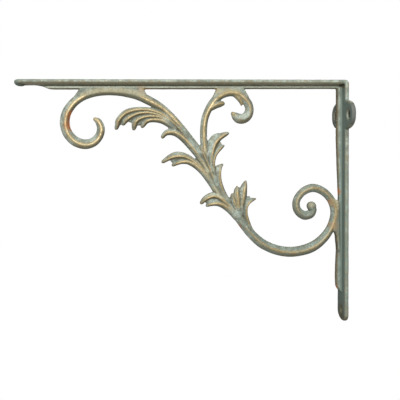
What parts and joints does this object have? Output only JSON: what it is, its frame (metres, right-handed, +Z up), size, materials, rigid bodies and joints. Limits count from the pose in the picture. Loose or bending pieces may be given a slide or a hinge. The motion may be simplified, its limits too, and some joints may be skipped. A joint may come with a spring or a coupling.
{
  "type": "scrolled wall bracket",
  "caption": "One-piece cast-iron wall bracket: a T-section arm and wall leg braced by a leafy S-scroll, with eared and end screw holes and a flat top to carry a shelf or a hung load",
  "frame": {"origin": "On the wall face, midway between the two screw holes of the oval ear plate.", "axes": "+X points into the wall, so the arm reaches out along -X; +Z is up, towards the shelf; +Y runs across the bracket, along its thin way."},
  "size_m": [0.27, 0.0528, 0.195],
  "materials": {
    "patinated_iron": "sand-cast iron with a mottled sage-green patina, bronze-gold rubbed on the ridges, dark hollows and a little rust"
  },
  "bodies": {
    "root": {"bracket": "patinated_iron"}
  },
  "joints": []
}
